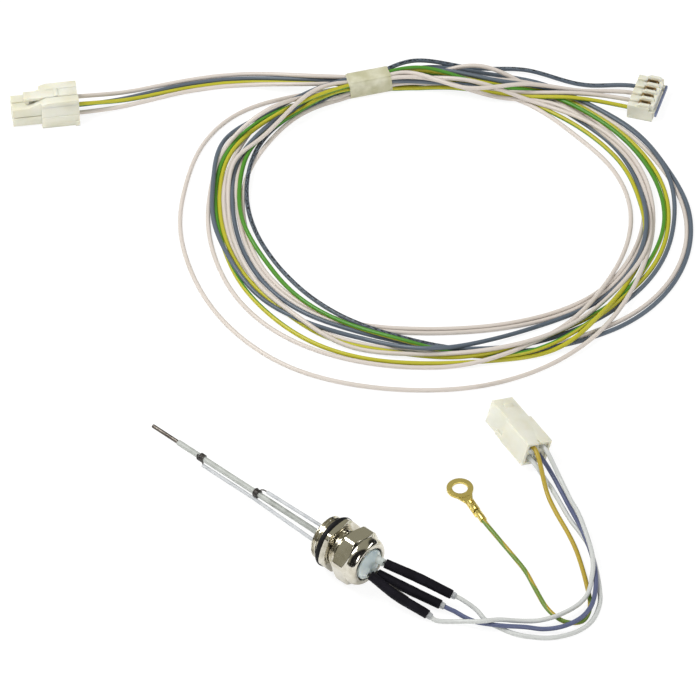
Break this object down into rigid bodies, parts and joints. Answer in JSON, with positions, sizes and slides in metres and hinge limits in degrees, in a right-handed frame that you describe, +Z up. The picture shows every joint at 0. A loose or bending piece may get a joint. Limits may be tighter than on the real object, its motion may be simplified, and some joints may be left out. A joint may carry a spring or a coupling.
{
  "type": "flame sensor probe",
  "caption": "Stepped flame sensing probe in a nickel plated screw gland, with a short crimped pigtail, an earth eyelet and an unplugged coiled extension harness.",
  "frame": {"origin": "centre of the gland's seat face, on the axis of its mounting thread", "axes": "-X along the gland's axis out of the thread towards the probe's tip, +X towards the cables, +Z up from the surface that the part lies on"},
  "size_m": [0.3245, 0.2696, 0.0198],
  "materials": {
    "nickel": "nickel plated, polished",
    "o_ring_rubber": "smooth",
    "resin": "cast, semi matt",
    "silicone": "translucent, satin",
    "nylon_white": "satin",
    "probe_steel": "dark, heat tinted",
    "thin_wire": "dark drawn wire",
    "sleeving": "satin sleeving",
    "clear_tube": "clear, glossy",
    "shrink": "heat shrunk, matt",
    "tinned_copper": "tinned",
    "ferrule_grey": "translucent",
    "lead_white": "insulation, semi gloss",
    "lead_grey": "insulation, semi gloss",
    "lead_earth": "green and yellow striped insulation",
    "terminal_brass": "stamped",
    "ivory_nylon": "translucent natural nylon",
    "contact_metal": "tinned stamping",
    "key_plastic": "satin",
    "tape": "clear film, slightly creased",
    "coil_bundle": "bundle of insulated leads"
  },
  "bodies": {
    "gland": {"gland_body": "nickel", "o_ring": "o_ring_rubber", "potting_plug": "resin", "sealing_insert": "silicone", "long_electrode": "probe_steel", "middle_electrode": "thin_wire", "short_electrode": "thin_wire", "long_sleeve": "sleeving", "middle_sleeve": "sleeving", "short_sleeve": "sleeving", "clear_sleeve_a": "clear_tube", "clear_sleeve_b": "clear_tube", "clear_sleeve_c": "clear_tube", "shrink_sleeve_a": "shrink", "shrink_sleeve_b": "shrink", "shrink_sleeve_c": "shrink", "splice_a": "tinned_copper", "splice_b": "tinned_copper", "splice_c": "tinned_copper", "lead_ferrule_a": "ferrule_grey", "lead_ferrule_b": "ferrule_grey", "lead_ferrule_c": "ferrule_grey", "lead_white_a": "lead_white", "lead_grey": "lead_grey", "lead_white_b": "lead_white", "earth_lead": "lead_earth", "ring_terminal": "terminal_brass", "socket_housing": "ivory_nylon", "socket_contacts": "contact_metal", "plug_housing": "ivory_nylon", "plug_latch_pin": "tinned_copper", "plug_contacts": "contact_metal", "board_housing": "ivory_nylon", "board_contacts": "contact_metal", "board_key": "key_plastic", "tape_band": "tape", "harness_coil": "coil_bundle", "left_tail_white_a": "lead_white", "left_tail_grey": "lead_grey", "left_tail_white_b": "lead_white", "left_tail_earth": "lead_earth", "right_tail_white_a": "lead_white", "right_tail_grey": "lead_grey", "right_tail_white_b": "lead_white", "right_tail_earth": "lead_earth"},
    "slip": {"slip_ring": "nylon_white"},
    "nut": {"dome_nut": "nickel"},
    "latch": {"plug_latch": "ivory_nylon"}
  },
  "joints": [
    {"name": "nut_travel", "type": "slide", "parent": "gland", "child": "slip", "axis": [1, 0, 0], "range_m": [0, 0.0045]},
    {"name": "nut_turn", "type": "hinge", "parent": "slip", "child": "nut", "pos_m": [0.009, 0, 0], "axis": [1, 0, 0], "range_deg": [0, 1080]},
    {"name": "latch_press", "type": "hinge", "parent": "gland", "child": "latch", "pos_m": [-0.22862, 0.10002, 0.0009], "axis": [-0.7771, 0.6293, 0], "range_deg": [0, 6], "stiffness_Nm_per_rad": 0.02}
  ],
  "couplings": [
    {"joint": "nut_travel", "follows": "nut_turn", "m_per_rad": 0.00023873}
  ]
}
